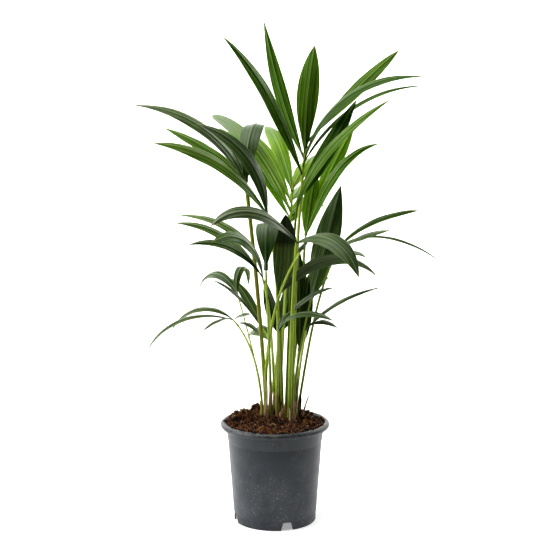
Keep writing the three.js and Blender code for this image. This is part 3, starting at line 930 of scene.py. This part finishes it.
# painted light on the tips: paler as painted sheen, and near black as the painted shade of a fold
painted_light_tips = {
    "lime": (0.55, 0.95, "#8a987c"),
    "lemon": (0.55, 0.95, "#80906c"),
    "bleached": (0.45, 0.85, "#8c9684"),
    "arched": (0.35, 0.85, "#6e7a66"),
    "folded": (0.6, 0.67, "#0c1206"),
}
vein_gap, band_gap, fine_gap = 6.2, 2.6, 0.8  # mm
# broad bands are partly painted shade of the pleats
band_share = 0.42  # how much of the lining is broad bands rather than fine lines
upper_rough, back_rough = 0.38, 0.5
back_pale = 0.16  # how far a leaf's back is bleached towards grey-green


def waxy_leaf(name, tone, roughness, bleach=0.0):
    """Marks hold mm across, mm along and a number; shares hold the same from 0 to 1."""
    shade, blade, vein, margin, glow, shine = leaf_tones[tone]
    m, shader = new_material(
        name,
        Roughness=roughness,
        IOR=1.45,
        Specular_IOR_Level=shine,
        Subsurface_Weight=glow,
        Subsurface_Scale=2 * MM,
        Subsurface_Radius=(0.6, 1.0, 0.25),
    )
    marks = add_node(m, "ShaderNodeAttribute", {"attribute_name": "blade"}).outputs["Vector"]
    share = add_node(m, "ShaderNodeAttribute", {"attribute_name": "share"}).outputs["Vector"]
    share = add_node(m, SPLIT, Vector=share)
    mm_across = add_node(m, SPLIT, Vector=marks).outputs["X"]

    # fine lines, which are veins, and broad bands, partly veins and partly painted shade of the
    # pleats, both drawn out along the leaf
    fine = add_node(m, MAPPING, Vector=marks, Scale=(1 / fine_gap, 0.012, 1))
    fine = add_node(m, NOISE, Vector=fine, Scale=1.0, Detail=3.0, Roughness=0.6)
    band = add_node(m, MAPPING, Vector=marks, Scale=(1 / band_gap, 0.005, 1))
    band = add_node(m, NOISE, Vector=band, Scale=1.0, Detail=2.0)
    lines = add_node(m, MIX, {"data_type": "FLOAT"}, _0=band_share, _2=fine, _3=band)
    colour = add_node(m, RAMP, stops=[(0.38, shade), (0.5, blade), (0.64, vein)], Fac=lines)
    strong = add_node(m, MATH, {"operation": "PINGPONG"}, _0=mm_across, _1=vein_gap / 2)
    strong = add_node(m, RAMP, stops=[(0.2, 0.75), (0.7, 0.0)], Fac=strong)
    colour = add_node(m, MIX, RGB, _0=strong, _6=colour, _7=linear(vein))

    # clouds along the leaf, a duller back, and a tint of the leaf's own
    cloud = add_node(m, MAPPING, Vector=marks, Scale=(0.06, 0.022, 1))
    cloud = add_node(m, NOISE, Vector=cloud, Scale=1.0, Detail=3.0)
    cloud = add_node(m, RAMP, stops=[(0.3, 0.72), (0.7, 1.0)], Fac=cloud)
    colour = add_node(m, MIX, TINT, _0=1.0, _6=colour, _7=cloud)
    colour = add_node(m, MIX, RGB, _0=bleach, _6=colour, _7=linear("#8b9a78"))
    own = add_node(m, RAMP, stops=[(0.1, "#eaf4e4"), (0.9, "#fafcc4")], Fac=share.outputs["Z"])
    colour = add_node(m, MIX, TINT, _0=1.0, _6=colour, _7=own)

    # pale midrib and margins, then the tip: dry brown on most tones, painted sheen
    # on a few, painted shade on the folded one
    rib = add_node(m, MATH, {"operation": "ABSOLUTE"}, _0=mm_across)
    rib = add_node(m, RAMP, stops=[(0.25, 0.7), (0.65, 0.0)], Fac=rib)
    edge = add_node(m, RAMP, stops=[(0.93, 0.0), (0.98, 0.6)], Fac=share.outputs["X"])
    pale = add_node(m, MATH, {"operation": "MAXIMUM"}, _0=rib, _1=edge)
    colour = add_node(m, MIX, RGB, _0=pale, _6=colour, _7=linear(margin))
    start, full, tip_colour = painted_light_tips.get(tone, dry_tip)
    tip = add_node(m, RAMP, stops=[(start, 0.0), (full, 0.8)], Fac=share.outputs["Y"])
    colour = add_node(m, MIX, RGB, _0=tip, _6=colour, _7=linear(tip_colour))
    relief = add_node(m, BUMP, Height=lines, Strength=0.5, Distance=0.3 * MM)
    feed(m, shader, Base_Color=colour, Normal=relief)
    return m


upper = {tone: waxy_leaf(f"leaf_{tone}", tone, upper_rough) for tone in leaf_tones}
under = {tone: waxy_leaf(f"leaf_back_{tone}", tone, back_rough, back_pale) for tone in leaf_tones}
print("leaf finishes:", len(upper), "tones, each with a duller back")

# %% [markdown]
# ## One leaflet
# The blade is a grid of points: rows along the arc, columns across. Its outline widens quickly
# from a narrow root and draws out to a long point. Its section is a shallow roof, folded tighter
# at the root, with soft pleats on either side of a raised midrib, and its margins ripple a
# little. A second layer 0.5 mm below closes the body, so the mesh has a real thickness.

# %% Draw a leaflet's outline
usual_belly, usual_point, root_share = 0.48, 1.05, 0.2


def leaf_outline(s, belly, point):
    """Share of the full width at s: widest at the belly, drawn out finely where point is large."""
    widening = point * belly / (1 - belly)
    peak = belly**widening * (1 - belly) ** point
    return np.maximum(s**widening * (1 - s) ** point / peak, root_share * (1 - s))


near_tip = leaf_outline(np.array([0.9]), usual_belly, usual_point)[0]
print("nine tenths of the way along, a leaflet has", round(near_tip, 2), "of its full width")

# %% Build a leaflet
leaf_rows, leaf_columns = 46, 25
leaf_fold, root_fold, root_fade = 0.1, 0.34, 9
leaf_thick, midrib_high, midrib_wide = 0.5, 0.55, 0.9  # mm
narrowest = 0.12  # mm from the midrib to the margin, at the very tip
pleat_high, pleat_wide = 0.2, 6.2  # mm
usual_ripple = 0.05  # height of the waves on a margin as a share of half the width
most_twist = 7  # degrees that a leaflet may turn about its own length
slow_waves, quick_waves = (9, 15), (18, 27)  # radians of wave from root to tip
slow_share, quick_share = 0.6, 0.4
edge_fades, midrib_fades, pleats_fade = 3, 4, 9  # mm of half width below which each dwindles


def leaflet(root, row, luck):
    """Rings, marks and shares. In them s runs from root to tip and q from margin to margin."""
    long = row["arc"][4]
    arc = growth_arc(root, *row["arc"])
    s = np.linspace(0, 1, leaf_rows) ** 0.92  # rows a little closer near the tip
    point, _, side, up = stations(arc, s * long)
    sign = 1 if math.cos(arc["heading"]) >= 0 else -1
    twist = luck.uniform(-most_twist, most_twist)
    lean = np.radians(row["lean"] * sign + twist * s**1.5)[:, None]
    across = side * np.cos(lean) + up * np.sin(lean)
    face = up * np.cos(lean) - side * np.sin(lean)
    outline = leaf_outline(s, row.get("belly", usual_belly), row.get("point", usual_point))
    half = np.maximum(row["wide"] / 2 * outline, narrowest)[:, None]

    q = np.linspace(-1, 1, leaf_columns)
    q = (np.sign(q) * (1 - (1 - np.abs(q)) ** 1.25))[None, :]  # columns closer near the margins
    x = half * q
    fold = leaf_fold + (root_fold - leaf_fold) * np.exp(-s * root_fade)[:, None]
    roof = 2 * half * fold * (1 - np.abs(q))
    midrib = midrib_high * np.exp(-((x / midrib_wide) ** 2)) * np.minimum(1, half / midrib_fades)
    fade = np.minimum(1, half / pleats_fade) * (1 - q**4)
    pleats = pleat_high * np.cos(2 * math.pi * x / pleat_wide) * fade
    phases = [luck.uniform(0, 6.3) for _ in range(4)]
    waves = []
    for slow_start, quick_start in (phases[:2], phases[2:]):
        wave = np.sin(s * luck.uniform(*slow_waves) + slow_start) * slow_share
        wave = wave + np.sin(s * luck.uniform(*quick_waves) + quick_start) * quick_share
        waves.append(wave[:, None])
    margin = np.abs(q) ** 2.5
    ripple = row.get("ripple", usual_ripple) * half * margin * np.where(q > 0, *waves)
    height = roof + midrib + pleats + ripple

    thick = leaf_thick * np.minimum(1, half / edge_fades) * np.sqrt(np.clip(1 - q**2, 0, 1))
    base = point[:, None] + across[:, None] * x[..., None]
    top = base + face[:, None] * height[..., None]
    low = base + face[:, None] * (height - thick)[..., None]
    number = luck.uniform(0, 900)
    marks = spread(x.shape, x, (s * long)[:, None], number)
    shares = spread(x.shape, np.abs(q), s[:, None], number % 1)
    # a ring goes over the upper face and comes back under it
    layers = ((top, low), (marks, marks), (shares, shares))
    return [np.concatenate([over, below[:, -2:0:-1]], axis=1) for over, below in layers]


sides_of_ring = 2 * leaf_columns - 2
is_upper = np.arange(sides_of_ring) < leaf_columns - 1
print("a leaflet has", leaf_rows * sides_of_ring, "points")

# %% [markdown]
# ## Stalks
# A stalk is smooth and fleshy, round behind and slightly channelled in front, and tapers from a
# sheath at its foot. It is green to olive, finely lined along its length, with brown scurf near
# the foot. Stalks in the shade of the others are given a darker green, which is painted shade. A
# tube follows the growth arc. The rib that carries the leaflets is the same tube carried on, and
# it belongs to the frond. Dried sheaths have the same fibres, with no green left.

# %% Finish: green stalk
stalk_tones = {  # between its lines, lines, broad streaks
    "fresh": ("#78921c", "#b0c648", "#d2de80"),
    "olive": ("#687820", "#94a63a", "#74502c"),
    # a darker green for stalks in the shade of the others: painted shade
    "green": ("#40580a", "#627c1a", "#8a9e3a"),
    "dried": ("#a8805e", "#f2ceac", "#f8e2cc"),
    # dark brown of dead sheaths, partly painted shade for the hollows between them
    "dead_and_shade": ("#26160c", "#664026", "#946a46"),
}
line_gap, streak_gap = 0.45, 2.6  # mm round the stalk
scurf_reach = 40  # mm up from the foot


def fleshy_stalk(name, shade, light, streak):
    m, shader = new_material(
        name,
        Roughness=0.4,
        IOR=1.45,
        Specular_IOR_Level=0.25,
        Subsurface_Weight=0.1,
        Subsurface_Scale=3 * MM,
        Subsurface_Radius=(0.7, 1.0, 0.3),
    )
    marks = add_node(m, "ShaderNodeAttribute", {"attribute_name": "blade"}).outputs["Vector"]
    fine = add_node(m, MAPPING, Vector=marks, Scale=(1 / line_gap, 0.01, 1))
    fine = add_node(m, NOISE, Vector=fine, Scale=1.0, Detail=3.0, Roughness=0.6)
    colour = add_node(m, RAMP, stops=[(0.36, shade), (0.6, light)], Fac=fine)
    broad = add_node(m, MAPPING, Vector=marks, Scale=(1 / streak_gap, 0.004, 1))
    broad = add_node(m, NOISE, Vector=broad, Scale=1.0, Detail=1.0)
    broad = add_node(m, RAMP, stops=[(0.54, 0.0), (0.62, 0.7)], Fac=broad)
    colour = add_node(m, MIX, RGB, _0=broad, _6=colour, _7=linear(streak))

    along = add_node(m, SPLIT, Vector=marks).outputs["Y"]
    low = add_node(m, MATH, TIMES_PLUS, _0=along, _1=-0.2 / scurf_reach, _2=0.08)
    scurf = add_node(m, MAPPING, Vector=marks, Scale=(0.7, 0.08, 1))
    scurf = add_node(m, NOISE, Vector=scurf, Scale=1.0, Detail=4.0, Roughness=0.7)
    scurf = add_node(m, MATH, {"operation": "ADD"}, _0=scurf, _1=low)
    scurf = add_node(m, RAMP, stops=[(0.62, 0.0), (0.76, 0.85)], Fac=scurf)
    colour = add_node(m, MIX, RGB, _0=scurf, _6=colour, _7=linear("#5a3d24"))
    relief = add_node(m, BUMP, Height=fine, Strength=0.25, Distance=0.2 * MM)
    feed(m, shader, Base_Color=colour, Normal=relief)
    return m


stalk_finish = {tone: fleshy_stalk(f"stalk_{tone}", *three) for tone, three in stalk_tones.items()}
print("stalk finishes:", list(stalk_finish))

# %% Build a stalk
stalk_sides = 16
channel_deep, channel_wide = 0.14, 0.08
flatten = np.array([1, 1, 0])  # takes the height out of a direction, for the rings at a foot


def round_marks(along, thick, number):
    """Marks of a tube: millimetres round it and along it. They run round and back, so no seam."""
    half_turn = np.abs(np.arange(stalk_sides) / stalk_sides * 2 - 1) * thick * math.pi / 2
    return spread((len(along), stalk_sides), half_turn, along[:, None], number * 50)


def channelled(point, side, up, radius):
    """Rings round a line of points, each with the shallow channel of a stalk on its upper side."""
    turn = np.arange(stalk_sides) / stalk_sides * 2 * math.pi
    channel = 1 - channel_deep * np.exp(-((np.cos(turn - math.pi / 2) - 1) ** 2) / channel_wide)
    ring = side[:, None] * (np.cos(turn) * channel)[None, :, None]
    ring = ring + up[:, None] * (np.sin(turn) * channel)[None, :, None]
    return point[:, None] + ring * radius[:, None, None]


def limb(arc, start, end, thick_start, thick_end, rows):
    at = np.linspace(start, end, rows)
    point, _, side, up = stations(arc, at)
    if start == 0:
        up = up * flatten
    share = (at - start) / (end - start)
    radius = (thick_start + (thick_end - thick_start) * share) / 2
    return channelled(point, side, up, radius), round_marks(at, thick_start, arc["heading"])


print("a stalk's channel is", channel_deep, "of its radius deep")

# %% Grow the fronds
rib_taper = 0.6
rib_lead, root_sunk = 8, 2  # mm
stalk_rows, rib_rows = 40, 12


def grow_frond(name, frond, luck):
    arc = growth_arc(seat_of(frond["stem"], frond["seat"]), *frond["arc"])
    bare = arc["long"] - rib_lead - max(row["back"] for row in frond["leaflets"])
    neck = frond["thick"] * frond["taper"]
    stalk = Batch()
    rings, marks = limb(arc, 0, bare, frond["thick"], neck, stalk_rows)
    stalk.add(rings, 0, marks)
    stalk_piece = stalk.make(f"green_stalk_{name}", [stalk_finish[frond["stalk"]]], True)
    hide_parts(f"stalk_{name}")
    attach(stalk_piece, "root")

    tones = sorted({row["tone"] for row in frond["leaflets"]})
    materials = [stalk_finish[frond["stalk"]]]
    materials += [finish[tone] for tone in tones for finish in (upper, under)]
    blades = Batch()
    rings, marks = limb(arc, bare, arc["long"], neck, neck * rib_taper, rib_rows)
    blades.add(rings, 0, marks)
    for row in frond["leaflets"]:
        root = stations(arc, [arc["long"] - row["back"] - root_sunk])[0][0]
        rings, marks, shares = leaflet(root, row, luck)
        number = 1 + 2 * tones.index(row["tone"])
        blades.add(rings, np.where(is_upper, number, number + 1), marks, shares)
    blade_piece = blades.make(f"leaflets_{name}", materials)
    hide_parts(f"frond_{name}")
    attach(blade_piece, "root")
    return len(stalk_piece.data.polygons) + len(blade_piece.data.polygons)


growing = random.Random(7)
faces = sum(grow_frond(name, each, growing) for name, each in fronds.items())
print("fronds grown:", faces, "faces")

# %% [markdown]
# ## Stems in their sheaths
# A seedling's stem hardly shows: what shows is the foot of each stalk, which widens into a sheath.
# Four sheaths rise from one foot in the compost and part towards their stalks, with dark gaps
# between them. Old sheaths dry to tan or brown strips, flat against the stem at the foot, that
# turn on edge and curl as they lean away, and narrow to a torn tip. Every other strip is dark
# brown: a dead sheath, and in part painted shade standing in for the hollows between the sheaths.

# %% Shape a sheath
sheath_rows = 16
foot_share = 0.72  # how far apart the sheaths stand at the foot, as a share of the seat ring
foot_deep = 8  # how far a sheath reaches into the compost
sheath_swell = 0.3  # how much wider than its stalk a sheath is at the foot
sheath_lead = 14  # mm below its seat from where a sheath runs straight on into its stalk


def sheath(stem, frond):
    seat = seat_of(stem, frond["seat"])
    arc = growth_arc(seat, *frond["arc"])
    middle = np.array([*stems[stem], 0])
    foot = middle + (seat - middle) * foot_share * flatten
    foot[2] = soil["middle"] - foot_deep
    s = np.linspace(0, 1, sheath_rows)[:, None]
    leave = seat - arc["ways"][0] * sheath_lead
    line = (1 - s) ** 2 * foot + 2 * s * (1 - s) * leave + s**2 * seat
    radii = frond["thick"] / 2 * (1 + sheath_swell * (1 - s[:, 0]) ** 1.6)
    _, _, side, up = stations(arc, np.zeros(sheath_rows))
    marks = round_marks(s[:, 0] * stem_high - stem_high, frond["thick"], arc["heading"])
    return channelled(line, side, up * flatten, radii), marks


print("a sheath runs", foot_deep + stem_high, "mm from its foot to its seat")

# %% Shape a dried strip
strip_rows = 20
strip_gap = 4.8  # how far a strip's foot stands out from the seat ring
strip_flat = 0.28  # a dried strip's thickness as a share of its width
strip_twist = 0.1  # radians a strip turns for each millimetre that it leans outwards
strip_taper, strip_uneven, uneven_waves = 0.25, 0.2, 11  # shares of its width, and radians
curl_sweep = 2.6  # radians of the sine that bends a strip sideways
torn_tip = (0.8, 0.6, 0.35, 0.1)  # how the last rows of a strip narrow
dried_strips = {  # stem: bearing round the stem, height, lean outwards, width and curl, all mm
    1: [
        (262, 76, -3, 3.4, 7), (310, 46, 3, 5.4, 3), (291, 68, 5, 5, 7), (250, 40, 2, 4, 2),
        (320, 30, 6, 3, -3), (60, 46, 5, 2.8, 2), (130, 36, 4, 3, -3),
    ],
    2: [(265, 56, 3, 3.2, 3), (300, 44, 2, 4, -2), (100, 50, 6, 3, 3), (20, 32, 5, 2.6, -2)],
    3: [
        (275, 24, 3, 5, 1), (245, 56, 1, 3.6, 2), (315, 34, 4, 3, -3), (180, 46, 3, 2.6, 2),
        (40, 40, 5, 2.8, 2),
    ],
    4: [
        (300, 46, 3, 5, 3), (318, 80, 6, 3.8, 4), (262, 34, 3, 3.2, 3), (235, 50, 2, 3.6, 1),
        (335, 50, 6, 3, 3), (70, 44, 5, 2.8, 3), (150, 34, 4, 3, 2),
    ],
    5: [(330, 50, 13, 3.8, 3), (288, 54, 4, 3.6, 3), (262, 30, 3, 3.2, -2), (90, 44, 6, 3, 2)],
}


def dried_strip(stem, bearing, high, lean, wide, curl):
    turn = math.radians(bearing)
    out = np.array([math.cos(turn), math.sin(turn), 0.0])
    side = np.array([-math.sin(turn), math.cos(turn), 0.0])
    s = np.linspace(0, 1, strip_rows)[:, None]
    start = np.array([*stems[stem], soil["middle"] - foot_deep]) + out * (seat_ring + strip_gap)
    line = start + out * lean * s**2 + side * curl * np.sin(curl_sweep * s)
    line = line + s * np.array([0, 0, high])
    uneven = 1 + strip_uneven * np.sin(uneven_waves * s[:, 0] + bearing)
    radii = wide / 2 * (1 - strip_taper * s[:, 0]) * uneven
    radii[-len(torn_tip) :] *= torn_tip
    marks = round_marks(s[:, 0] * high + scurf_reach, wide, turn)
    around = np.arange(stalk_sides)[None, :, None] / stalk_sides * 2 * math.pi
    twist = (strip_twist * lean * s)[:, None]
    wide_way = side * np.cos(twist) + out * np.sin(twist)
    thin_way = out * np.cos(twist) - side * np.sin(twist)
    ring = wide_way * np.cos(around) + thin_way * strip_flat * np.sin(around)
    return line[:, None] + ring * radii[:, None, None], marks


print("dried strips:", sum(len(strips) for strips in dried_strips.values()))

# %% Wrap the stems
for number in stems:
    batch = Batch()
    own = [f for f in fronds.values() if f["stem"] == number]
    tones = ["dried", "dead_and_shade", *sorted({f["stalk"] for f in own})]
    for each in own:
        rings, marks = sheath(number, each)
        batch.add(rings, tones.index(each["stalk"]), marks)
    for turn, strip in enumerate(dried_strips[number]):
        rings, marks = dried_strip(number, *strip)
        # every other strip is dark brown, partly as painted shade between the sheaths
        batch.add(rings, turn % 2, marks)
    piece = batch.make(f"sheathed_stem_{number}", [stalk_finish[t] for t in tones], True)
    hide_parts(f"stem_{number}")
    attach(piece, "root")
print("stems wrapped:", len(stems))
